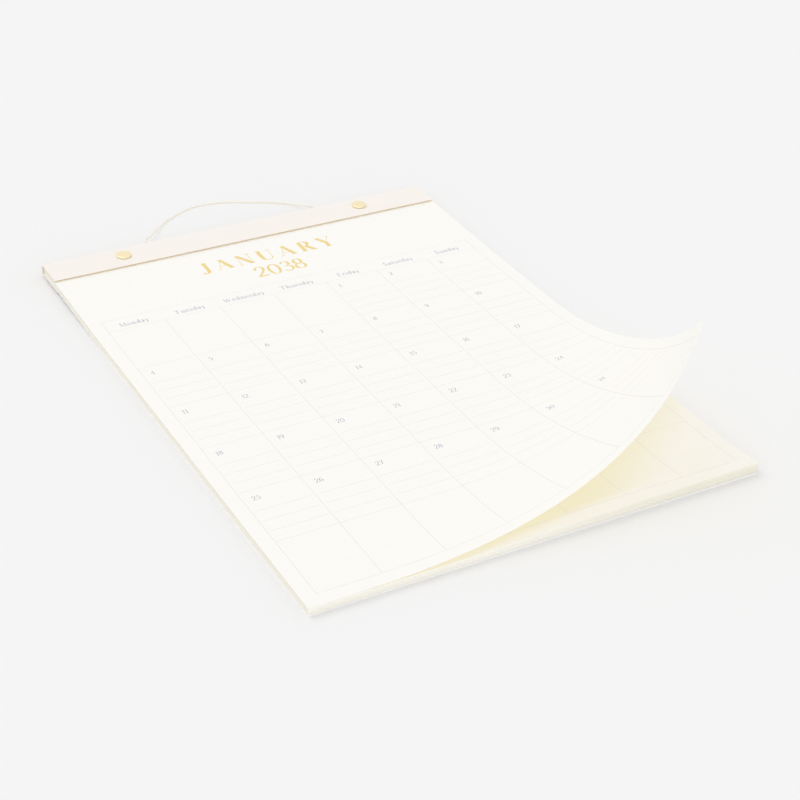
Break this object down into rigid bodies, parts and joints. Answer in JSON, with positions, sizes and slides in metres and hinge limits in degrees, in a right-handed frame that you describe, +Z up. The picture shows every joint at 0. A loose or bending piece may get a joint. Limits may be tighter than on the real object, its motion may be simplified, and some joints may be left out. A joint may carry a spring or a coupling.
{
  "type": "wall calendar",
  "caption": "Large tear-off wall calendar: month sheets and a backing board under a folded card header with brass screw posts and a hanging cord, front sheet curled up at one corner.",
  "frame": {"origin": "on the surface that the calendar lies on, under the middle of the calendar without its hanging cord", "axes": "+Z up out of the printed sheets, +Y from the free edge towards the bound edge with the header strip, +X to the right of someone reading the front sheet"},
  "size_m": [0.3, 0.4761, 0.0987],
  "materials": {
    "header_card": "uncoated cream card, faintly mottled",
    "sheet_paper": "smooth matt warm white paper, printed",
    "block_paper": "matt warm white paper, cut edges cream with fine layers",
    "backing_board": "matt grey-cream board",
    "polished_brass": "polished",
    "cord_thread": "twisted thread, matt"
  },
  "bodies": {
    "root": {"header_strip": "header_card", "front_sheet": "sheet_paper", "page_block": "block_paper", "back_board": "backing_board", "binding_post_left": "polished_brass", "binding_post_right": "polished_brass", "binding_screw_left": "polished_brass", "binding_screw_right": "polished_brass", "hanging_cord": "cord_thread"}
  },
  "joints": []
}
